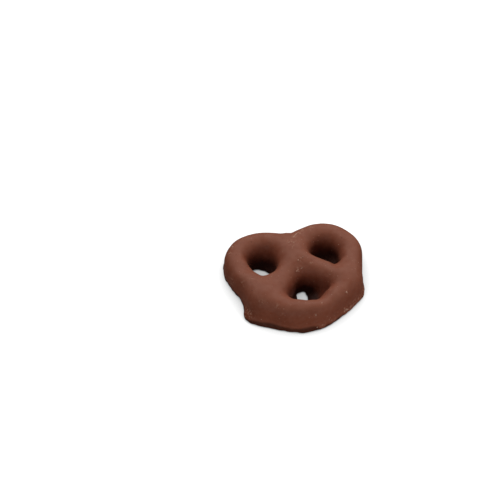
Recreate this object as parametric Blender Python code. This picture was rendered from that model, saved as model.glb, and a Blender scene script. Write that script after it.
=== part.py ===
"""A chocolate covered pretzel: one dough rope, looped and crossed into the usual three openings,
dipped in milk chocolate and set on a flat belt.

The coat hides the dough, so the object is one solid. Its surface is where a smooth distance to the
rope's route is zero: the coat follows the rope's round back, fills the corners where strands meet,
stands on near upright sides, and pools low down, where it narrows the openings and spreads a foot.
"""

import math

import bmesh
import bpy
import numpy as np
from mathutils import Matrix

MM = 0.001

# The rope's route from its left end to its right end, in millimetres:
# x, y, half-width, crown height, and how far its foot spreads at the belt.
ROUTE = (
    (-17.2, -9.4, 4.3, 8.8, 0.8),  # left end, laid on the bottom bow
    (-12.0, -6.3, 4.1, 9.2, 0.2),
    (-7.4, -2.9, 4.0, 9.3, 0.2),
    (-3.0, 1.0, 3.9, 9.6, 0.2),
    (0.0, 4.6, 3.9, 9.9, 0.2),  # the crossing, above the other arm
    (1.6, 9.0, 3.8, 9.6, -0.2),
    (4.0, 13.3, 3.8, 9.2, 0.4),
    (8.8, 15.2, 3.8, 9.0, 1.0),
    (14.2, 14.7, 3.9, 9.0, 1.0),  # top of the right lobe
    (18.3, 11.3, 3.9, 9.2, 0.4),
    (19.9, 6.2, 3.7, 9.2, -0.4),
    (18.9, 1.0, 3.7, 9.2, -0.3),
    (16.2, -4.0, 3.9, 9.2, 0.0),
    (14.6, -8.4, 3.9, 9.2, 0.2),
    (10.6, -12.2, 3.8, 9.3, 0.3),
    (5.8, -15.0, 3.7, 9.4, 0.4),
    (0.2, -17.0, 3.8, 9.4, 0.4),  # middle of the bottom bow
    (-5.8, -16.2, 4.0, 9.4, 0.4),
    (-11.2, -13.1, 4.1, 9.3, 0.4),
    (-15.2, -9.6, 4.0, 9.2, 0.5),
    (-16.2, -4.8, 3.9, 9.2, -0.3),
    (-17.4, 0.2, 3.9, 9.2, -0.5),
    (-19.6, 5.6, 4.0, 9.2, -0.4),
    (-19.6, 11.2, 4.0, 9.2, 0.0),
    (-16.0, 15.6, 4.0, 9.1, 0.6),
    (-10.6, 16.8, 3.9, 9.0, 0.8),  # top of the left lobe
    (-5.0, 15.6, 3.8, 9.0, 0.8),
    (-1.6, 12.2, 3.8, 9.2, 0.4),
    (-1.3, 7.6, 3.7, 9.3, 0.2),
    (1.8, 3.6, 3.7, 9.4, 0.2),
    (6.4, -0.6, 3.8, 9.3, -0.2),
    (11.0, -5.3, 3.8, 9.2, -0.1),
    (15.9, -8.9, 4.3, 8.8, 0.6),  # right end
)
ROUTE_STEP = 0.6
MIDDLE = (-0.11, 0.12)  # of the box round the coat, in the route's x and y

# Where the coat pooled low in a corner between strands: x, y, reach and height.
POOLS = (
    (6.4, -7.4, 2.4, 3.0),
    (-6.6, 11.0, 0.5, 3.0),
    (12.4, 11.2, 0.5, 3.0),
)
BLEND_TOP = 1.6  # how far the coat rounds the corners between strands, high up
BLEND_FOOT = 1.8  # and low down, where it pools
POOLING_FADES = (1.0, 7.0)  # the heights between which one turns into the other
FOOT_HEIGHT = 1.8

CELL = 1.2  # side of the surface's faces
GRID_BELOW_BELT = 2.5 * CELL
BELT_REACH = 0.25  # a corner of the surface this near the belt is set down on it
SETTLE_ROUNDS = 3
SLOPE_STEP = 0.05
POINTS_AT_ONCE = 20000  # keeps the distance's arrays small

MILK_CHOCOLATE = "73473A"
SATIN_ROUGHNESS = 0.45


def spline(knots, step):
    """Points about step apart on a Catmull-Rom curve through the knots, every column eased alike."""
    knots = np.array(knots, float)
    knots = np.vstack([2 * knots[0] - knots[1], knots, 2 * knots[-1] - knots[-2]])
    points = []
    for a, b, c, d in zip(knots, knots[1:], knots[2:], knots[3:]):
        count = max(2, round(math.dist(b[:2], c[:2]) / step))
        for t in np.arange(count) / count:
            square = 2 * a - 5 * b + 4 * c - d
            cube = 3 * b - a - 3 * c + d
            points.append(0.5 * (2 * b + (c - a) * t + square * t**2 + cube * t**3))
    return np.array(points + [knots[-2]])


def smooth_step(low, high, values):
    share = np.clip((values - low) / (high - low), 0, 1)
    return share * share * (3 - 2 * share)


def coat_distance(points, rope):
    """How far each point lies outside the coat, in millimetres; below zero is inside."""
    x, y, half_width, crown, spread = rope.T
    spacing = np.hypot(np.diff(x), np.diff(y)).mean()
    distance = np.empty(len(points))
    for first in range(0, len(points), POINTS_AT_ONCE):
        some = points[first : first + POINTS_AT_ONCE]
        px, py, pz = some[:, :1], some[:, 1:2], some[:, 2:]
        rise = np.maximum(pz - (crown - half_width), 0)
        foot = spread * np.exp(-((pz / FOOT_HEIGHT) ** 2))
        gap = np.sqrt((px - x) ** 2 + (py - y) ** 2 + rise**2) - half_width - foot
        blend = BLEND_FOOT + (BLEND_TOP - BLEND_FOOT) * smooth_step(*POOLING_FADES, pz)
        share = spacing / np.sqrt(2 * math.pi * half_width * blend)
        near = np.sum(share * np.exp(-gap / blend), axis=1, keepdims=True)
        for pool_x, pool_y, reach, height in POOLS:
            gap = np.hypot(px - pool_x, py - pool_y) - reach
            near += np.exp(-gap / blend - (pz / height) ** 2)
        distance[first : first + POINTS_AT_ONCE] = (-blend * np.log(near))[:, 0]
    return distance


def surface_net(values):
    """Corners and quads round the zero level of a grid, one corner in each cell that the level crosses.

    A corner is the mean of the points where the level crosses its cell's edges, in grid steps.
    """
    inside = values < 0
    cells = tuple(np.array(values.shape) - 1)
    total = np.zeros((*cells, 3))
    count = np.zeros(cells)
    for axis in range(3):
        others = [other for other in range(3) if other != axis]
        for side in ((0, 0), (0, 1), (1, 0), (1, 1)):
            low = [slice(0, n) for n in cells]
            offset = np.zeros(3)
            for other, shift in zip(others, side):
                low[other] = slice(shift, cells[other] + shift)
                offset[other] = shift
            high = list(low)
            high[axis] = slice(1, cells[axis] + 1)
            a, b = values[tuple(low)], values[tuple(high)]
            crossed = inside[tuple(low)] != inside[tuple(high)]
            total += crossed[..., None] * offset
            total[..., axis] += np.where(crossed, a / np.where(crossed, a - b, 1), 0)
            count += crossed
    used = count > 0
    corners = np.stack(np.nonzero(used), axis=1) + total[used] / count[used][:, None]
    index = np.full(cells, -1)
    index[used] = np.arange(len(corners))

    # Each grid edge that the level crosses is ringed by the four cells that share it.
    quads = []
    for axis in range(3):
        u, v = (axis + 1) % 3, (axis + 2) % 3
        low = [slice(1, n) for n in cells]
        low[axis] = slice(0, cells[axis])
        high = list(low)
        high[axis] = slice(1, cells[axis] + 1)
        starts_inside, ends_inside = inside[tuple(low)], inside[tuple(high)]
        crossed = starts_inside != ends_inside
        edges = np.stack(np.nonzero(crossed), axis=1)
        edges[:, [u, v]] += 1
        ring = []
        for du, dv in ((-1, -1), (0, -1), (0, 0), (-1, 0)):
            cell = edges.copy()
            cell[:, u] += du
            cell[:, v] += dv
            ring.append(index[tuple(cell.T)])
        ring = np.stack(ring, axis=1)
        quads.append(np.where(starts_inside[crossed][:, None], ring, ring[:, ::-1]))
    return corners, np.concatenate(quads)


def settle(points, rope):
    """The points moved along the slope of the distance until they lie on the coat."""
    for _ in range(SETTLE_ROUNDS):
        slope = np.empty_like(points)
        for axis, step in enumerate(SLOPE_STEP * np.eye(3)):
            rise = coat_distance(points + step, rope) - coat_distance(points - step, rope)
            slope[:, axis] = rise / (2 * SLOPE_STEP)
        share = coat_distance(points, rope) / (slope**2).sum(axis=1)
        points = points - share[:, None] * slope
    return points


def coat_surface():
    """The coat's corners in millimetres and its quads, open below the belt."""
    rope = spline(ROUTE, ROUTE_STEP)
    margin = rope[:, 2].max() + 2 * CELL
    low = np.append(rope[:, :2].min(axis=0) - margin, -GRID_BELOW_BELT)
    high = np.append(rope[:, :2].max(axis=0) + margin, rope[:, 3].max() + 2 * CELL)
    lines = [np.arange(start, stop, CELL) for start, stop in zip(low, high)]
    grid = np.stack(np.meshgrid(*lines, indexing="ij"), axis=-1)
    values = coat_distance(grid.reshape(-1, 3), rope).reshape(grid.shape[:3])
    corners, quads = surface_net(values)
    return settle(low + corners * CELL, rope) - (*MIDDLE, 0), quads


def flat_based_mesh(points, quads):
    """The surface cut flat at the belt and closed there, in metres."""
    mesh = bpy.data.meshes.new("pretzel")
    mesh.from_pydata(points.tolist(), [], quads.tolist())
    shape = bmesh.new()
    shape.from_mesh(mesh)
    everything = [*shape.verts, *shape.edges, *shape.faces]
    bmesh.ops.bisect_plane(
        shape, geom=everything, dist=BELT_REACH, plane_co=(0, 0, 0), plane_no=(0, 0, 1), clear_inner=True
    )
    rim = [edge for edge in shape.edges if edge.is_boundary]
    for edge in rim:
        for corner in edge.verts:
            corner.co.z = 0
    bmesh.ops.triangle_fill(shape, edges=rim, use_beauty=True)
    bmesh.ops.recalc_face_normals(shape, faces=shape.faces)
    shape.transform(Matrix.Scale(MM, 4))
    shape.to_mesh(mesh)
    shape.free()
    mesh.shade_smooth()
    return mesh


def milk_chocolate():
    material = bpy.data.materials.new("milk_chocolate")
    material.use_nodes = True
    shader = material.node_tree.nodes["Principled BSDF"]
    shader.inputs["Base Color"].default_value = linear(MILK_CHOCOLATE)
    shader.inputs["Roughness"].default_value = SATIN_ROUGHNESS
    shader.inputs["Metallic"].default_value = 0
    return material


def linear(hex_colour):
    """A screen colour as the linear red, green, blue and alpha that a shader takes."""
    shares = [int(hex_colour[i : i + 2], 16) / 255 for i in (0, 2, 4)]
    return [share / 12.92 if share < 0.04045 else ((share + 0.055) / 1.055) ** 2.4 for share in shares] + [1]


def main():
    for obj in list(bpy.data.objects):
        bpy.data.objects.remove(obj)
    pretzel = bpy.data.objects.new("pretzel", flat_based_mesh(*coat_surface()))
    pretzel.data.materials.append(milk_chocolate())
    bpy.context.scene.collection.objects.link(pretzel)


main()
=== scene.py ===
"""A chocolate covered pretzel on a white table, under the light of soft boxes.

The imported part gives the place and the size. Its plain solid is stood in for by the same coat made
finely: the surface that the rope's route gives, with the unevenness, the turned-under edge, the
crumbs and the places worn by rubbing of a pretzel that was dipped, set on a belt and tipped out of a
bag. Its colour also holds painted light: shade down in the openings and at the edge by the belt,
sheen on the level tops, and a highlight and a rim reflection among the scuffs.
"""

import math

import bmesh
import bpy
import numpy as np
from mathutils import Matrix, Vector
from mathutils.bvhtree import BVHTree


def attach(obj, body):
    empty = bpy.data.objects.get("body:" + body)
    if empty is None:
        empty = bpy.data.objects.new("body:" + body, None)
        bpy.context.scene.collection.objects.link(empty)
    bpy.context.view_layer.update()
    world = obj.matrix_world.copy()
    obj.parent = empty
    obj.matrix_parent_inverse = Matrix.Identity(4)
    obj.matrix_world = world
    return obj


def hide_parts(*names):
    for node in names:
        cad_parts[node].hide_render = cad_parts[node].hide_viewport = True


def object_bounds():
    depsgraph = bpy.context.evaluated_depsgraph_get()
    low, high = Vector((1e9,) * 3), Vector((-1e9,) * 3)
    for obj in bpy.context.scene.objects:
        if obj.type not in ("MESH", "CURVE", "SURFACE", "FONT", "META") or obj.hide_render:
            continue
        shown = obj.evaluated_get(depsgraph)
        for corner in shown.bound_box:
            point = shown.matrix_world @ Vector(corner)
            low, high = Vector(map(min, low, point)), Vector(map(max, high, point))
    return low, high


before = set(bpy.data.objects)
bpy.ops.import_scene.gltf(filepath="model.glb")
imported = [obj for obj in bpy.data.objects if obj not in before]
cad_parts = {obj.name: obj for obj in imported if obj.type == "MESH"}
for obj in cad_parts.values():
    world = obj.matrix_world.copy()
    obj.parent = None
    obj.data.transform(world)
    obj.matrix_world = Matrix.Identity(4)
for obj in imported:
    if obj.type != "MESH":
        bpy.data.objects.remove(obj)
cad_box = [list(corner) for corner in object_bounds()]

MM = 0.001

# The photograph's framing: the aim is a point of the piece, in millimetres, and where it shows.
PHOTO_SIDE = 480  # pixels
AIM = (-2.09, -1.32, 4.5)
AIM_PIXEL = (294.5, 279.0)
VIEW_AZIMUTH = -16  # degrees
VIEW_ELEVATION = 47
CAMERA_DISTANCE = 0.447
LENS = 100  # millimetres
SENSOR = 36

# The rope's route from its left end to its right end, in millimetres:
# x, y, half-width, crown height, and how far its foot spreads at the belt.
ROUTE = (
    (-17.2, -9.4, 4.3, 8.8, 0.8),  # left end, laid on the bottom bow
    (-12.0, -6.3, 4.1, 9.2, 0.2),
    (-7.4, -2.9, 4.0, 9.3, 0.2),
    (-3.0, 1.0, 3.9, 9.6, 0.2),
    (0.0, 4.6, 3.9, 9.9, 0.2),  # the crossing, above the other arm
    (1.6, 9.0, 3.8, 9.6, -0.2),
    (4.0, 13.3, 3.8, 9.2, 0.4),
    (8.8, 15.2, 3.8, 9.0, 1.0),
    (14.2, 14.7, 3.9, 9.0, 1.0),  # top of the right lobe
    (18.3, 11.3, 3.9, 9.2, 0.4),
    (19.9, 6.2, 3.7, 9.2, -0.4),
    (18.9, 1.0, 3.7, 9.2, -0.3),
    (16.2, -4.0, 3.9, 9.2, 0.0),
    (14.6, -8.4, 3.9, 9.2, 0.2),
    (10.6, -12.2, 3.8, 9.3, 0.3),
    (5.8, -15.0, 3.7, 9.4, 0.4),
    (0.2, -17.0, 3.8, 9.4, 0.4),  # middle of the bottom bow
    (-5.8, -16.2, 4.0, 9.4, 0.4),
    (-11.2, -13.1, 4.1, 9.3, 0.4),
    (-15.2, -9.6, 4.0, 9.2, 0.5),
    (-16.2, -4.8, 3.9, 9.2, -0.3),
    (-17.4, 0.2, 3.9, 9.2, -0.5),
    (-19.6, 5.6, 4.0, 9.2, -0.4),
    (-19.6, 11.2, 4.0, 9.2, 0.0),
    (-16.0, 15.6, 4.0, 9.1, 0.6),
    (-10.6, 16.8, 3.9, 9.0, 0.8),  # top of the left lobe
    (-5.0, 15.6, 3.8, 9.0, 0.8),
    (-1.6, 12.2, 3.8, 9.2, 0.4),
    (-1.3, 7.6, 3.7, 9.3, 0.2),
    (1.8, 3.6, 3.7, 9.4, 0.2),
    (6.4, -0.6, 3.8, 9.3, -0.2),
    (11.0, -5.3, 3.8, 9.2, -0.1),
    (15.9, -8.9, 4.3, 8.8, 0.6),  # right end
)
ROUTE_STEP = 1.1
MIDDLE = (-0.11, 0.12)  # of the box round the coat, in the route's x and y

# Where the coat pooled low in a corner between strands: x, y, reach and height.
POOLS = (
    (6.6, -7.4, 1.4, 3.0),
    (-6.6, 11.0, 0.5, 3.0),
    (12.4, 11.2, 0.5, 3.0),
)
# The film that ran a little further across the belt, round each opening: x, y, reach and height.
# A reach below zero leaves a trace of it.
FILMS = (
    (-9.6, 11.9, 0.8, 1.2),  # left opening
    (-6.4, 8.9, 0.9, 1.2),
    (-11.6, 13.1, -1.2, 1.2),
    (12.6, 9.4, 1.3, 1.2),  # right opening
    (15.4, 7.4, 0.7, 1.2),
    (4.6, -4.4, 0.8, 1.2),  # bottom opening
    (3.4, -7.9, 0.9, 1.2),
    (5.4, -7.6, 1.05, 1.2),
    (-1.0, -4.0, -4.0, 1.2),
    (-4.5, -9.0, 0.8, 1.2),
    (15.6, 4.6, 0.4, 1.6),  # up the right lobe's inner wall
)
# The piece's own lumps and hollows: x, y, reach, how far the coat stands out, and the height above
# the belt where that has faded away, in millimetres.
LUMPS = (
    (-10.9, -0.3, 2.4, 0.4, 20),  # on the arm in front of the left opening
    (-17.8, 3.8, 2.6, -0.7, 20),  # beside the left opening
    (-15.4, 9.2, 2.8, -0.5, 20),
    (-21.4, 1.6, 3.0, 0.25, 20),  # outside the left lobe
    (11.9, -2.2, 2.4, -0.65, 20),  # in front of the right opening
    (6.2, 6.0, 2.6, -0.6, 20),  # on its left
    (16.4, 4.4, 2.0, -0.2, 20),  # on its right
    (14.9, 1.0, 2.0, -0.6, 20),
    (4.6, -13.6, 2.4, -0.7, 20),  # in front of the bottom opening
    (1.6, -14.8, 2.6, -0.85, 20),
    (-2.0, -14.0, 2.0, -0.4, 20),
    (-6.0, -12.8, 2.2, -0.2, 20),
    (8.4, -9.8, 3.0, -0.7, 20),  # on its right
    (-2.2, -4.2, 2.4, -0.35, 20),  # on its left
    (-14.4, -14.8, 3.4, -0.35, 20),  # the left end's front
    (22.4, 5.0, 4.5, 0.3, 20),  # outside the right lobe
    (-0.1, 15.2, 1.6, 0.4, 20),  # in the notch between the lobes
    (-20.6, -11.6, 4.0, 1.05, 4.0),  # the foot under the left end
    (-22.2, -9.8, 1.8, 0.35, 5.0),
    (-20.4, -14.3, 2.2, -0.45, 4.0),
    (-14.0, -17.6, 3.5, 0.25, 4.0),
    (-11.6, -19.3, 2.2, -0.12, 4.0),  # under the bottom bow
    (-5.0, -21.3, 2.0, 0.42, 4.0),
    (0.5, -21.8, 2.6, 0.15, 4.0),
    (12.5, -16.5, 4.0, 0.08, 4.0),
    (18.6, -10.8, 2.5, 0.25, 3.5),  # under the right end
)
LUMP_WHOLE = 1 / 3  # the share of that height below which a lump stands out fully
BLEND_TOP = 1.6  # how far the coat rounds the corners between strands, high up
BLEND_FOOT = 1.8  # and low down, where it pools
POOLING_FADES = (1.0, 7.0)  # the heights between which one turns into the other
FOOT_HEIGHT = 1.8
SHOULDER = 1.2  # how gently the upright side turns into the round back

# The coat's unevenness: how many ripples, their shortest and longest length, and how far they
# stand out or sink in on the wall and at the foot, in millimetres.
SEED = 7
RIPPLES = (
    (24, 5.0, 11.0, 0.08, 0.08),  # the dough's lumps under the coat
    (30, 1.6, 3.4, 0.015, 0.13),  # the coat's own drape, which ends in a ragged line on the belt
)
RAGGED_HEIGHT = 1.2  # millimetres

# The coat's foot on the belt, in millimetres: it flares by FOOT_FLARE within FOOT_FLARE_HEIGHT, and
# below EDGE_HEIGHT its edge turns under, by EDGE_DEPTH at the belt.
FOOT_FLARE = 0.3
FOOT_FLARE_HEIGHT = 2.2
EDGE_HEIGHT = 1.3
EDGE_DEPTH = 0.7

CELL = 0.32  # side of the surface's faces
GRID_BELOW_BELT = 2.5 * CELL
FOOT_ROOM = 2.5  # between the rope's widest wall and the grid's border
HEADROOM = 3.4  # between the highest crown and the grid's top
BELT_REACH = 0.06  # a corner of the surface this near the belt is set down on it
SLOPE_STEP = 0.05
POINTS_AT_ONCE = 20000  # keeps the distance's arrays small

# Crumbs stuck on the coat: x, y, z, length, width and height, in millimetres, and which way the
# length points, in degrees seen from above.
CRUMBS = (
    (-0.2, 1.3, 10.5, 0.66, 0.5, 0.34, 20),  # the largest, on the crossing
    (1.0, 1.9, 10.6, 0.34, 0.26, 0.16, 70),
    (1.7, 2.1, 10.6, 0.40, 0.22, 0.18, 110),
    (-1.5, -1.9, 9.0, 0.66, 0.34, 0.2, 60),
    (-1.0, -1.5, 9.1, 0.34, 0.26, 0.18, 10),
    (0.3, -1.2, 9.1, 0.6, 0.32, 0.18, 40),
    (1.7, 12.2, 10.1, 1.5, 0.34, 0.15, 40),  # flakes in the notch between the lobes
    (2.8, 13.25, 9.9, 1.5, 0.28, 0.15, 44),
    (3.9, 14.2, 9.7, 1.3, 0.24, 0.14, 42),
    (5.2, 14.9, 9.4, 1.2, 0.2, 0.12, 34),
    (-0.6, 9.9, 10.7, 0.4, 0.3, 0.12, 0),  # behind the crossing
    (0.8, 9.2, 10.8, 0.45, 0.3, 0.12, 40),
    (9.2, 15.7, 9.2, 0.38, 0.28, 0.15, 10),  # right lobe
    (-19.1, 14.8, 8.8, 0.5, 0.4, 0.26, 0),  # left lobe
    (-20.9, 12.0, 8.8, 0.40, 0.26, 0.14, 50),
    (-17.1, -1.6, 9.7, 0.36, 0.22, 0.12, 0),
    (11.5, -14.9, 8.7, 0.7, 0.55, 0.26, 30),  # bottom bow
    (2.0, -17.5, 9.5, 0.46, 0.34, 0.14, 20),
    (11.1, -17.0, 2.2, 1.1, 0.5, 0.36, 35),  # a broken edge low on the bottom bow
    (10.2, -17.5, 2.0, 0.5, 0.36, 0.22, 80),
    (-0.5, -21.2, 1.9, 0.5, 0.4, 0.2, 10),
    (-0.9, -20.6, 7.3, 0.5, 0.44, 0.16, 80),  # higher on its front
)
FINE_CRUMBS = 130
FINE_CRUMB_LENGTHS = (0.1, 0.32)  # millimetres
FINE_CRUMB_WIDTHS = (0.6, 0.9)  # of the length
FINE_CRUMB_HEIGHTS = (0.3, 0.5)  # of the width
# A crumb is a ball made uneven by waves: how many, how far they stand out and how close they follow.
CRUMB_WAVES = 6
CRUMB_WAVE_HEIGHT = 0.12  # of the crumb's size
CRUMB_WAVE_RATE = 2.3

# Patches where the coat shows scuffs, with a painted highlight and a painted rim reflection among them:
# x, y, z and reach in millimetres, and how badly from 0 to 1.
SCUFF_AND_HIGHLIGHT_PATCHES = (
    (0.2, 9.4, 10.8, 1.3, 0.7),  # behind the crossing
    (-0.3, 7.1, 11.0, 0.8, 0.5),
    (2.0, 12.4, 10.1, 0.8, 0.5),  # the notch between the lobes
    (4.5, 14.1, 9.6, 0.9, 0.8),
    (6.1, 15.3, 9.3, 0.7, 0.6),  # right lobe
    (9.2, 15.7, 9.2, 0.5, 0.7),
    (4.7, 8.0, 9.6, 0.8, 0.4),
    (0.6, 1.4, 10.4, 0.9, 0.6),  # on the crossing
    (-0.6, -1.6, 9.1, 1.0, 0.9),
    (4.2, -0.4, 9.7, 0.6, 0.5),
    (-19.1, 14.8, 8.8, 0.8, 0.8),  # left lobe
    (-20.9, 12.0, 8.8, 0.8, 0.7),
    (-20.5, -1.5, 8.0, 0.9, 0.7),
    (-17.1, -1.6, 9.7, 0.7, 0.6),
    (-17.0, -11.7, 9.1, 0.9, 0.6),  # left end
    # painted highlight, where light falls on the foot's flare under the left end
    (-20.9, -9.8, 3.2, 2.2, 1.0),
    (-12.4, -14.7, 9.1, 0.7, 0.6),  # bottom bow
    (-11.5, -17.4, 7.3, 0.6, 0.5),
    (-7.7, -15.6, 9.5, 0.6, 0.5),
    (2.0, -17.5, 9.5, 0.5, 0.9),
    (4.5, -19.6, 7.3, 0.5, 0.4),
    (-0.9, -20.6, 7.3, 0.6, 0.6),
    (1.2, -21.1, 1.7, 1.4, 0.6),
    (5.4, -19.7, 2.4, 1.2, 0.5),
    (10.5, -17.3, 2.8, 0.9, 1.0),
    (12.6, -16.1, 2.1, 1.0, 0.8),  # right end
    (14.8, -14.8, 2.2, 1.2, 0.8),
    (16.9, -13.3, 2.3, 1.0, 0.7),
    (11.5, -14.9, 8.6, 0.6, 0.8),
    (19.3, -10.6, 2.0, 1.3, 0.7),
    (8.0, 18.4, 6.0, 2.2, 0.5),  # the far side
    (-14.0, 19.2, 5.0, 2.6, 0.6),
    # partly rubbing, partly a painted rim reflection along the right lobe's outline
    (21.9, 12.0, 6.0, 2.0, 0.5),
    (-22.6, 3.0, 5.5, 1.8, 0.4),
)

# How open a place is towards its most open side when it takes the full painted shade of the openings,
# and when it takes none: 1 is open down to the horizon, and 0.5 to half the way up.
OPENING_SHADE_OPENNESS = (0.70, 0.99)
SKY_CELL = 0.4  # millimetres
SKY_DIRECTIONS = 16
SKY_REACHES = (0.6, 1.2, 1.8, 2.5, 3.4, 4.6, 6.2, 8.4, 11.0)  # millimetres
RUB_AND_SHEEN_HEIGHTS = (6.5, 9.3)  # between which the coat turns from unworn to paler, partly from rubbing and partly as painted sheen
RUB_AND_SHEEN_LEVELNESS = (0.3, 1)  # and how level it lies there: 0 is upright and 1 is level
UNDERSIDE_LEVELNESS = -0.99  # a face at or below this looks straight down on the belt
EDGE_SHADE_HEIGHTS = (1.7, 2.8)  # between which the painted shade at the edge by the belt fades into the wall
EDGE_WAVER = 3  # how many times the ripples' height that edge rises and falls
EDGE_THINNING = 0.12  # and how much lower it stays with each millimetre to the right of the middle
EDGE_WEAR = 2.5  # how much lower, in millimetres, that painted shade stays where scuffs went through the coat

# The soft boxes, which all face the piece: azimuth and elevation in degrees, width and height in
# metres, and brightness. Azimuth 0 is behind the piece and 90 on its right.
SOFT_BOXES = {
    "back_soft_box": (18, 46, 1.45, 0.43, 3.8),
    "front_soft_box": (180, 11, 2.6, 0.26, 0.7),
    "left_soft_box": (212, 18, 0.7, 0.3, 2.1),
    "right_soft_box": (138, 10, 0.7, 0.26, 2.0),
}
BOX_DISTANCE = 0.7  # metres
ROOM_LIGHT = 0.08
TABLE_LIGHT = 1.37  # how bright the table glows where no painted shadow falls
TABLE_SIDE = 6  # metres
SHADE_REACH = 60  # how far off the piece still paints shadow on the table, in millimetres

SATIN_ROUGHNESS = 0.42

MILK_CHOCOLATE = "7E4532"
THICK_CHOCOLATE = "78402D"
EDGE_SHADE_AND_PIT_CHOCOLATE = "3A1B11"  # painted shade at the turned-under edge by the belt; also the dark of pits and burst bubbles
OPENING_SHADE_CHOCOLATE = "442A24"  # painted shade, down in the openings
BELT_CHOCOLATE = "69392A"  # the underside
# paler: rubbing, and painted sheen on the level tops; the mottle takes it too
RUB_AND_SHEEN_CHOCOLATE = "8A5A49"
# pale scuffs, flakes and specks, and the painted highlights
SCUFF_AND_HIGHLIGHT_CHOCOLATE = "AD7F6B"
BROKEN_CHOCOLATE = "B48C78"
WHITE_TABLE = "FFFFFF"


def linear(hex_colour):
    """A screen colour as the linear red, green, blue and alpha that a shader takes."""
    colour = [int(hex_colour[i : i + 2], 16) / 255 for i in (0, 2, 4)]
    return [part / 12.92 if part < 0.04045 else ((part + 0.055) / 1.055) ** 2.4 for part in colour] + [1]


def add(tree, kind, settings=None, inputs=None):
    """A new node with its settings. An input takes a value, or the output that is linked to it."""
    node = tree.nodes.new(kind)
    for name, value in (settings or {}).items():
        setattr(node, name, value)
    for name, value in (inputs or {}).items():
        if isinstance(value, bpy.types.NodeSocket):
            tree.links.new(value, node.inputs[name])
        else:
            node.inputs[name].default_value = value
    return node


# The coat's surface


def spline(knots, step):
    """Points about step apart on a Catmull-Rom curve through the knots, every column eased alike."""
    knots = np.array(knots, float)
    knots = np.vstack([2 * knots[0] - knots[1], knots, 2 * knots[-1] - knots[-2]])
    points = []
    for a, b, c, d in zip(knots, knots[1:], knots[2:], knots[3:]):
        count = max(2, round(math.dist(b[:2], c[:2]) / step))
        for t in np.arange(count) / count:
            square = 2 * a - 5 * b + 4 * c - d
            cube = 3 * b - a - 3 * c + d
            points.append(0.5 * (2 * b + (c - a) * t + square * t**2 + cube * t**3))
    return np.array(points + [knots[-2]])


def smooth_step(low, high, values):
    share = np.clip((values - low) / (high - low), 0, 1)
    return share * share * (3 - 2 * share)


def coat_distance(points, rope):
    """How far each point lies outside the smooth coat, in millimetres; below zero is inside."""
    x, y, half_width, crown, spread = rope.T
    spacing = np.hypot(np.gradient(x), np.gradient(y))
    distance = np.empty(len(points))
    for first in range(0, len(points), POINTS_AT_ONCE):
        some = points[first : first + POINTS_AT_ONCE]
        px, py, pz = some[:, :1], some[:, 1:2], some[:, 2:]
        rise = SHOULDER * np.logaddexp(0, (pz - (crown - half_width)) / SHOULDER)
        foot = spread * np.exp(-((pz / FOOT_HEIGHT) ** 2))
        gap = np.sqrt((px - x) ** 2 + (py - y) ** 2 + rise**2) - half_width - foot
        blend = BLEND_FOOT + (BLEND_TOP - BLEND_FOOT) * smooth_step(*POOLING_FADES, pz)
        share = spacing / np.sqrt(2 * math.pi * half_width * blend)
        near = np.sum(share * np.exp(-gap / blend), axis=1, keepdims=True)
        for pool_x, pool_y, reach, height in POOLS + FILMS:
            gap = np.hypot(px - pool_x, py - pool_y) - reach
            near += np.exp(-gap / blend - (pz / height) ** 2)
        distance[first : first + POINTS_AT_ONCE] = (-blend * np.log(near))[:, 0]
    return distance


def ripples(points):
    """How far the coat stands out at each point, in millimetres: the sum of many plane waves."""
    random = np.random.default_rng(SEED)
    height = np.zeros(len(points))
    foot = np.exp(-((points[:, 2] / RAGGED_HEIGHT) ** 2))
    for count, shortest, longest, wall_out, foot_out in RIPPLES:
        total = np.zeros(len(points))
        for _ in range(count):
            direction = random.normal(size=3)
            direction /= np.linalg.norm(direction)
            length = random.uniform(shortest, longest)
            total += np.sin(points @ direction * (2 * math.pi / length) + random.uniform(0, 2 * math.pi))
        height += (wall_out + (foot_out - wall_out) * foot) * np.tanh(total / math.sqrt(count))
    return height


def lumps(points):
    height = np.zeros(len(points))
    for x, y, reach, out, top in LUMPS:
        near = np.exp(-((points[:, 0] - x) ** 2 + (points[:, 1] - y) ** 2) / reach**2)
        height += out * near * (1 - smooth_step(LUMP_WHOLE * top, top, points[:, 2]))
    return height


def edge_profile(heights):
    """How far the foot stands out at each height above the belt, in millimetres."""
    flare = FOOT_FLARE * np.exp(-((heights / FOOT_FLARE_HEIGHT) ** 2))
    under = np.clip(1 - heights / EDGE_HEIGHT, 0, None)
    return flare - EDGE_DEPTH * under**2


def coat_with_relief(points, rope):
    return coat_distance(points, rope) - ripples(points) - lumps(points) - edge_profile(points[:, 2])


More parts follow.
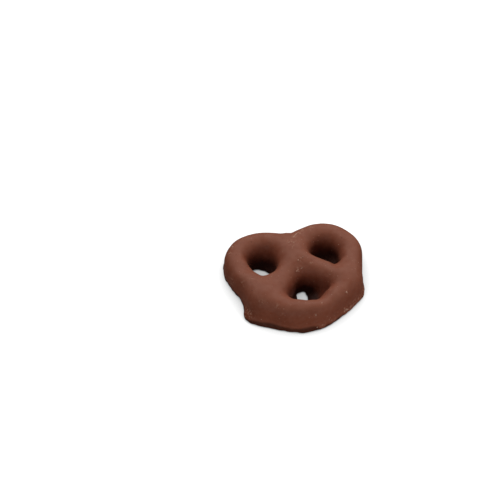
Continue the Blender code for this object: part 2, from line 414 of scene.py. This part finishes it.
def surface_net(values):
    """Corners and quads round the zero level of a grid, one corner in each cell that the level crosses.

    A corner is the mean of the points where the level crosses its cell's edges, in grid steps.
    """
    inside = values < 0
    cells = tuple(np.array(values.shape) - 1)
    total = np.zeros((*cells, 3))
    count = np.zeros(cells)
    for axis in range(3):
        others = [other for other in range(3) if other != axis]
        for side in ((0, 0), (0, 1), (1, 0), (1, 1)):
            low = [slice(0, n) for n in cells]
            offset = np.zeros(3)
            for other, shift in zip(others, side):
                low[other] = slice(shift, cells[other] + shift)
                offset[other] = shift
            high = list(low)
            high[axis] = slice(1, cells[axis] + 1)
            a, b = values[tuple(low)], values[tuple(high)]
            crossed = inside[tuple(low)] != inside[tuple(high)]
            total += crossed[..., None] * offset
            total[..., axis] += np.where(crossed, a / np.where(crossed, a - b, 1), 0)
            count += crossed
    used = count > 0
    corners = np.stack(np.nonzero(used), axis=1) + total[used] / count[used][:, None]
    index = np.full(cells, -1)
    index[used] = np.arange(len(corners))

    # Each grid edge that the level crosses is ringed by the four cells that share it.
    quads = []
    for axis in range(3):
        u, v = (axis + 1) % 3, (axis + 2) % 3
        low = [slice(1, n) for n in cells]
        low[axis] = slice(0, cells[axis])
        high = list(low)
        high[axis] = slice(1, cells[axis] + 1)
        starts_inside, ends_inside = inside[tuple(low)], inside[tuple(high)]
        crossed = starts_inside != ends_inside
        edges = np.stack(np.nonzero(crossed), axis=1)
        edges[:, [u, v]] += 1
        ring = []
        for du, dv in ((-1, -1), (0, -1), (0, 0), (-1, 0)):
            cell = edges.copy()
            cell[:, u] += du
            cell[:, v] += dv
            ring.append(index[tuple(cell.T)])
        ring = np.stack(ring, axis=1)
        quads.append(np.where(starts_inside[crossed][:, None], ring, ring[:, ::-1]))
    return corners, np.concatenate(quads)


def settle(points, rope):
    """The points moved along the slope of the distance onto the coat."""
    slope = np.empty_like(points)
    here = coat_with_relief(points, rope)
    for axis, step in enumerate(SLOPE_STEP * np.eye(3)):
        slope[:, axis] = (coat_with_relief(points + step, rope) - here) / SLOPE_STEP
    return points - (here / (slope**2).sum(axis=1))[:, None] * slope


def coat_surface():
    """The coat's corners in millimetres and its quads, open below the belt."""
    rope = spline(ROUTE, ROUTE_STEP)
    margin = rope[:, 2].max() + FOOT_ROOM
    low = np.append(rope[:, :2].min(axis=0) - margin, -GRID_BELOW_BELT)
    high = np.append(rope[:, :2].max(axis=0) + margin, rope[:, 3].max() + HEADROOM)
    lines = [np.arange(start, stop, CELL) for start, stop in zip(low, high)]
    grid = np.stack(np.meshgrid(*lines, indexing="ij"), axis=-1)
    values = coat_with_relief(grid.reshape(-1, 3), rope).reshape(grid.shape[:3])
    corners, quads = surface_net(values)
    return settle(low + corners * CELL, rope) - (*MIDDLE, 0), quads


def fit_box(shape, lowest, highest):
    """Brings the coat to the part's box, because its relief moved the extremes a little."""
    places = np.array([corner.co for corner in shape.verts])
    low, high = places.min(axis=0), places.max(axis=0)
    places = (places - low) / (high - low) * np.subtract(highest, lowest) + lowest
    for corner, place in zip(shape.verts, places):
        corner.co = place


def coat_mesh(points, quads):
    """The surface cut flat at the belt and closed there, in metres."""
    mesh = bpy.data.meshes.new("chocolate_coat")
    mesh.from_pydata(points.tolist(), [], quads.tolist())
    shape = bmesh.new()
    shape.from_mesh(mesh)
    everything = [*shape.verts, *shape.edges, *shape.faces]
    bmesh.ops.bisect_plane(
        shape, geom=everything, dist=BELT_REACH, plane_co=(0, 0, 0), plane_no=(0, 0, 1), clear_inner=True
    )
    rim = [edge for edge in shape.edges if edge.is_boundary]
    for edge in rim:
        for corner in edge.verts:
            corner.co.z = 0
    for face in shape.faces:
        face.smooth = True
    bmesh.ops.triangle_fill(shape, edges=rim, use_beauty=True)
    bmesh.ops.recalc_face_normals(shape, faces=shape.faces)
    fit_box(shape, *cad_box)
    shape.to_mesh(mesh)
    shape.free()
    return mesh


# Where the coat is worn or set against the belt, and where shade and sheen are painted on it


def openness(points):
    """How far down each point of the coat sees the sky on its most open side, from 0 to 1."""
    low = points[:, :2].min(axis=0) - SKY_CELL
    columns = np.round((points[:, :2] - low) / SKY_CELL).astype(int)
    tops = np.zeros(columns.max(axis=0) + 2)
    np.maximum.at(tops, tuple(columns.T), points[:, 2])
    widest = np.zeros(len(points))
    for turn in np.arange(SKY_DIRECTIONS) * 2 * math.pi / SKY_DIRECTIONS:
        steepest = np.zeros(len(points))
        for reach in SKY_REACHES:
            spots = points[:, :2] + reach * np.array((math.cos(turn), math.sin(turn)))
            spots = np.round((spots - low) / SKY_CELL).astype(int)
            spots = np.clip(spots, 0, np.array(tops.shape) - 1)
            steepest = np.maximum(steepest, (tops[tuple(spots.T)] - points[:, 2]) / reach)
        widest = np.maximum(widest, 1 / (1 + steepest**2))
    return widest


def scuff_and_highlight_amount(points):
    """How strongly each point is marked by the scuffs and painted highlights near it, from 0 to 1."""
    scuffs_and_highlights = np.zeros(len(points))
    for x, y, z, reach, strength in SCUFF_AND_HIGHLIGHT_PATCHES:
        away = ((points - (x, y, z)) ** 2).sum(axis=1)
        scuffs_and_highlights = np.maximum(scuffs_and_highlights, strength * np.exp(-away / reach**2))
    return scuffs_and_highlights


def mark_wear_and_painted_light(mesh):
    """Marks and painted shade and sheen go on the coat's corners and faces for its material to read."""
    places = np.array([corner.co for corner in mesh.vertices]) / MM
    height = places[:, 2]
    scuffs_and_highlights = scuff_and_highlight_amount(places)
    height_over_edge_shade = height + EDGE_WAVER * ripples(places) + EDGE_THINNING * np.maximum(places[:, 0], 0)
    height_over_edge_shade += EDGE_WEAR * scuffs_and_highlights
    level = np.array([normal.vector.z for normal in mesh.vertex_normals])
    marks_and_painted_light = {
        # painted shade: darker where a place sees little sky, down in the openings
        "shade_painted_in_openings": 1 - smooth_step(*OPENING_SHADE_OPENNESS, openness(places)),
        # partly rubbing, partly painted sheen: paler on the high, level tops
        "rubbed_and_sheen": smooth_step(*RUB_AND_SHEEN_HEIGHTS, height) * smooth_step(*RUB_AND_SHEEN_LEVELNESS, level),
        # scuffs, with a painted highlight and a painted rim reflection among them
        "scuffs_and_highlights": scuffs_and_highlights,
        # painted shade at the turned-under edge by the belt
        "edge": 1 - smooth_step(*EDGE_SHADE_HEIGHTS, height_over_edge_shade),
    }
    for name, values in marks_and_painted_light.items():
        mesh.attributes.new(name, "FLOAT", "POINT").data.foreach_set("value", values)
    underside = [float(face.normal.z < UNDERSIDE_LEVELNESS) for face in mesh.polygons]
    mesh.attributes.new("underside", "FLOAT", "FACE").data.foreach_set("value", underside)


# Crumbs


def fine_crumbs(coat, random):
    """Rows like those of CRUMBS, at random where the coat bulges, clear of the belt."""
    centres = np.array([face.center for face in coat.polygons]) / MM
    chance = np.array([face.area for face in coat.polygons])
    chance *= (ripples(centres) > 0) & (centres[:, 2] > FINE_CRUMB_LENGTHS[1])
    rows = []
    for spot in centres[random.choice(len(centres), FINE_CRUMBS, p=chance / chance.sum())]:
        shortest, longest = FINE_CRUMB_LENGTHS
        length = shortest + (longest - shortest) * random.random() ** 2
        width = length * random.uniform(*FINE_CRUMB_WIDTHS)
        height = width * random.uniform(*FINE_CRUMB_HEIGHTS)
        rows.append((*spot, length, width, height, random.uniform(0, 180)))
    return rows


def crumb_mesh(coat):
    """Small irregular bits, each pressed half its height into the coat, as one mesh in metres."""
    random = np.random.default_rng(SEED)
    surface = BVHTree.FromPolygons(
        [corner.co for corner in coat.vertices], [face.vertices for face in coat.polygons]
    )
    shape = bmesh.new()
    for x, y, z, length, width, height, turn in (*CRUMBS, *fine_crumbs(coat, random)):
        spot, normal, _, _ = surface.find_nearest(Vector((x, y, z)) * MM)
        along = Vector((math.cos(math.radians(turn)), math.sin(math.radians(turn)), 0))
        along = (along - normal * along.dot(normal)).normalized()
        facing = Matrix((along, normal.cross(along), normal)).transposed().to_4x4()
        place = Matrix.Translation(spot) @ facing
        finest = length < FINE_CRUMB_LENGTHS[1]
        made = bmesh.ops.create_icosphere(shape, subdivisions=2 if finest else 3, radius=1)["verts"]
        waves = [Vector(wave) for wave in random.normal(size=(CRUMB_WAVES, 3))]
        for corner in made:
            bumps = sum(math.sin(CRUMB_WAVE_RATE * wave.dot(corner.co) + wave.x) for wave in waves)
            corner.co = corner.co * (1 + CRUMB_WAVE_HEIGHT * bumps)
            corner.co *= Vector((length / 2, width / 2, height)) * MM
            corner.co = place @ corner.co
    mesh = bpy.data.meshes.new("chocolate_crumbs")
    shape.to_mesh(mesh)
    shape.free()
    mesh.shade_smooth()
    return mesh


# Materials


def milk_chocolate():
    """Tempered milk chocolate that set in air after dipping: satin and waxy, with soft patches of tone.

    Where it knocked about in the bag it is dull and pale from rubbing, and its level tops are painted
    paler still for their sheen. Down in the openings and at the edge by the belt it is painted darker for
    the shade there; that edge is smoother too, and the underside shows small burst bubbles.
    """
    material = bpy.data.materials.new("milk_chocolate")
    material.use_nodes = True
    tree = material.node_tree
    shader = tree.nodes["Principled BSDF"]
    shader.inputs["IOR"].default_value = 1.5
    shader.inputs["Specular IOR Level"].default_value = 0.07
    shader.inputs["Sheen Weight"].default_value = 0.12  # the haze of fine bloom, along the outline
    shader.inputs["Sheen Roughness"].default_value = 0.25
    shader.inputs["Sheen Tint"].default_value = linear(BROKEN_CHOCOLATE)
    place = add(tree, "ShaderNodeTexCoord").outputs["Object"]

    # How much of each thing shows at a place, from 0 to 1.
    amount = {}
    for name in ("shade_painted_in_openings", "rubbed_and_sheen", "scuffs_and_highlights", "edge", "underside"):
        amount[name] = add(tree, "ShaderNodeAttribute", {"attribute_name": name}).outputs["Fac"]
    for name, patch, detail, none, full in (  # a patch's size in millimetres
        ("thin coat", 7, 2, 0.35, 0.65),
        ("drape", 2.2, 2, 0, 1),
        ("mottle", 1.6, 4, 0.35, 0.8),
        ("rubbing", 2.6, 5, 0.1, 0.85),
        ("flaking", 0.8, 5, 0.5, 0.62),
        ("grain", 0.45, 3, 0, 1),  # the real grain is finer, and would not show
        ("speckled area", 5, 1, 0.45, 0.6),
    ):
        size = {"Vector": place, "Scale": 1 / (patch * MM), "Detail": detail}
        noise = add(tree, "ShaderNodeTexNoise", None, size)
        steps = {"Value": noise.outputs["Fac"], "From Min": none, "From Max": full}
        amount[name] = add(tree, "ShaderNodeMapRange", None, steps).outputs["Result"]
    for name, apart, none, full in (  # how far apart the spots are, in millimetres
        ("speck", 1.5, 0.16, 0.08),
        ("pit", 4.1, 0.06, 0.03),
        ("bubble", 1.3, 0.24, 0.14),
    ):
        spots = add(tree, "ShaderNodeTexVoronoi", None, {"Vector": place, "Scale": 1 / (apart * MM)})
        steps = {"Value": spots.outputs["Distance"], "From Min": none, "From Max": full}
        amount[name] = add(tree, "ShaderNodeMapRange", None, steps).outputs["Result"]
    for name, pattern, where in (
        ("specks", "speck", "speckled area"),
        ("rubbed patches", "rubbing", "rubbed_and_sheen"),
        ("flakes", "flaking", "scuffs_and_highlights"),
        ("bubbles", "bubble", "underside"),
    ):
        both = {0: amount[pattern], 1: amount[where]}
        amount[name] = add(tree, "ShaderNodeMath", {"operation": "MULTIPLY"}, both).outputs["Value"]

    # A Mix node takes its two colours at inputs 6 and 7 and gives one at output 2.
    colour = linear(THICK_CHOCOLATE)
    for name, strength, tone in (
        ("thin coat", 1.0, MILK_CHOCOLATE),
        ("mottle", 0.4, RUB_AND_SHEEN_CHOCOLATE),
        # partly rubbing, partly painted sheen on the level tops
        ("rubbed patches", 0.9, RUB_AND_SHEEN_CHOCOLATE),
        ("specks", 0.5, SCUFF_AND_HIGHLIGHT_CHOCOLATE),
        # scuffs, with a painted highlight and a painted rim reflection among them
        ("flakes", 1.0, SCUFF_AND_HIGHLIGHT_CHOCOLATE),
        ("pit", 0.6, EDGE_SHADE_AND_PIT_CHOCOLATE),
        # painted shade at the turned-under edge by the belt
        ("edge", 0.85, EDGE_SHADE_AND_PIT_CHOCOLATE),
        # painted shade down in the openings
        ("shade_painted_in_openings", 0.9, OPENING_SHADE_CHOCOLATE),
        ("underside", 1.0, BELT_CHOCOLATE),
        ("bubbles", 0.7, EDGE_SHADE_AND_PIT_CHOCOLATE),
    ):
        weight = add(tree, "ShaderNodeMath", {"operation": "MULTIPLY"}, {0: amount[name], 1: strength})
        layer = {0: weight.outputs["Value"], 6: colour, 7: linear(tone)}
        colour = add(tree, "ShaderNodeMix", {"data_type": "RGBA"}, layer).outputs[2]
    tree.links.new(colour, shader.inputs["Base Color"])

    roughness = SATIN_ROUGHNESS
    for name, rougher in (("mottle", 0.08), ("rubbed patches", 0.1), ("flakes", 0.2), ("edge", -0.08)):
        layer = {0: amount[name], 1: rougher, 2: roughness}
        roughness = add(tree, "ShaderNodeMath", {"operation": "MULTIPLY_ADD"}, layer).outputs["Value"]
    tree.links.new(roughness, shader.inputs["Roughness"])

    # The relief too fine for the mesh, in millimetres.
    relief = 0.0
    for name, height in (
        ("drape", 0.06),
        ("grain", 0.012),
        ("specks", 0.03),
        ("flakes", 0.05),
        ("pit", -0.05),
        ("bubbles", -0.12),
    ):
        layer = {0: amount[name], 1: height, 2: relief}
        relief = add(tree, "ShaderNodeMath", {"operation": "MULTIPLY_ADD"}, layer).outputs["Value"]
    bump = add(tree, "ShaderNodeBump", None, {"Height": relief, "Distance": MM})
    tree.links.new(bump.outputs["Normal"], shader.inputs["Normal"])
    return material


def broken_chocolate():
    """Milk chocolate broken off the coat: dull and pale, because its rough faces scatter the light."""
    material = bpy.data.materials.new("broken_chocolate")
    material.use_nodes = True
    tree = material.node_tree
    shader = tree.nodes["Principled BSDF"]
    shader.inputs["Roughness"].default_value = 0.7
    shader.inputs["IOR"].default_value = 1.5
    shader.inputs["Specular IOR Level"].default_value = 0.15
    place = add(tree, "ShaderNodeTexCoord").outputs["Object"]
    tone = add(tree, "ShaderNodeTexNoise", None, {"Vector": place, "Scale": 1 / (2.0 * MM), "Detail": 2})
    tone = add(
        tree, "ShaderNodeMapRange", None, {"Value": tone.outputs["Fac"], "From Min": 0.4, "From Max": 0.6}
    )
    colour = add(
        tree,
        "ShaderNodeMix",
        {"data_type": "RGBA"},
        {0: tone.outputs["Result"], 6: linear(SCUFF_AND_HIGHLIGHT_CHOCOLATE), 7: linear(BROKEN_CHOCOLATE)},
    )
    tree.links.new(colour.outputs[2], shader.inputs["Base Color"])
    grit = add(tree, "ShaderNodeTexNoise", None, {"Vector": place, "Scale": 1 / (0.12 * MM), "Detail": 2})
    bump = add(tree, "ShaderNodeBump", None, {"Height": grit.outputs["Fac"], "Distance": 0.03 * MM})
    tree.links.new(bump.outputs["Normal"], shader.inputs["Normal"])
    return material


def white_table():
    """Glowing white card with painted shadow: it shows pure white, and shades only close to the piece."""
    material = bpy.data.materials.new("white_table")
    material.use_nodes = True
    tree = material.node_tree
    shader = tree.nodes["Principled BSDF"]
    # painted shadow: the card's glow dims where the piece hides its sky
    open_sky = add(tree, "ShaderNodeAmbientOcclusion", {"samples": 16}, {"Distance": SHADE_REACH * MM})
    light = {0: open_sky.outputs["AO"], 1: TABLE_LIGHT}
    glow = add(tree, "ShaderNodeMath", {"operation": "MULTIPLY"}, light)
    tree.links.new(glow.outputs["Value"], shader.inputs["Emission Strength"])
    shader.inputs["Emission Color"].default_value = linear(WHITE_TABLE)
    shader.inputs["Base Color"].default_value = (0, 0, 0, 1)
    shader.inputs["Specular IOR Level"].default_value = 0
    return material


# The studio


def dim_room():
    """The studio round the soft boxes, as the sky."""
    world = bpy.data.worlds.new("dim_room")
    world.use_nodes = True
    world.node_tree.nodes["Background"].inputs["Color"].default_value = (1, 1, 1, 1)
    world.node_tree.nodes["Background"].inputs["Strength"].default_value = ROOM_LIGHT
    bpy.context.scene.world = world


def soft_box(name, azimuth, elevation, width, height, brightness):
    azimuth, elevation = math.radians(azimuth), math.radians(elevation)
    level = math.cos(elevation)
    outward = Vector((math.sin(azimuth) * level, math.cos(azimuth) * level, math.sin(elevation)))
    light = bpy.data.lights.new(name, "AREA")
    light.shape = "RECTANGLE"
    light.size = width
    light.size_y = height
    light.energy = brightness * math.pi * width * height
    lamp = bpy.data.objects.new(name, light)
    lamp.location = outward * BOX_DISTANCE
    lamp.rotation_euler = outward.to_track_quat("Z", "Y").to_euler()
    bpy.context.scene.collection.objects.link(lamp)


def table():
    mesh = bpy.data.meshes.new("table")
    far = TABLE_SIDE / 2
    mesh.from_pydata([(-far, -far, 0), (far, -far, 0), (far, far, 0), (-far, far, 0)], [], [(0, 1, 2, 3)])
    mesh.materials.append(white_table())
    floor = bpy.data.objects.new("table", mesh)
    bpy.context.scene.collection.objects.link(floor)
    # What a table throws back at the piece is in the front and side boxes already.
    floor.visible_diffuse = False
    floor.visible_glossy = False


def place_camera():
    """The camera looks at the piece from the photograph's side and puts the aim on its pixel."""
    azimuth, elevation = math.radians(VIEW_AZIMUTH), math.radians(VIEW_ELEVATION)
    level = math.cos(elevation)
    back = Vector((math.sin(azimuth) * level, -math.cos(azimuth) * level, math.sin(elevation)))
    right = Vector((math.cos(azimuth), math.sin(azimuth), 0))
    up = back.cross(right)
    per_pixel = CAMERA_DISTANCE * SENSOR / LENS / PHOTO_SIDE
    place = Vector(AIM) * MM + back * CAMERA_DISTANCE
    place -= right * (AIM_PIXEL[0] - PHOTO_SIDE / 2) * per_pixel
    place += up * (AIM_PIXEL[1] - PHOTO_SIDE / 2) * per_pixel
    camera = bpy.data.objects.new("camera", bpy.data.cameras.new("camera"))
    camera.data.lens = LENS
    camera.data.sensor_width = SENSOR
    camera.data.clip_start = 0.01
    camera.matrix_world = Matrix.Translation(place) @ Matrix((right, up, back)).transposed().to_4x4()
    bpy.context.scene.collection.objects.link(camera)
    bpy.context.scene.camera = camera


def add_piece(mesh, material):
    piece = bpy.data.objects.new(mesh.name, mesh)
    bpy.context.scene.collection.objects.link(piece)
    mesh.materials.append(material)
    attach(piece, "root")
    return piece


place_camera()
dim_room()
for box_name, box_values in SOFT_BOXES.items():
    soft_box(box_name, *box_values)
table()
bpy.context.scene.view_settings.view_transform = "Standard"

coat = add_piece(coat_mesh(*coat_surface()), milk_chocolate())
mark_wear_and_painted_light(coat.data)
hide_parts("pretzel")
add_piece(crumb_mesh(coat.data), broken_chocolate())
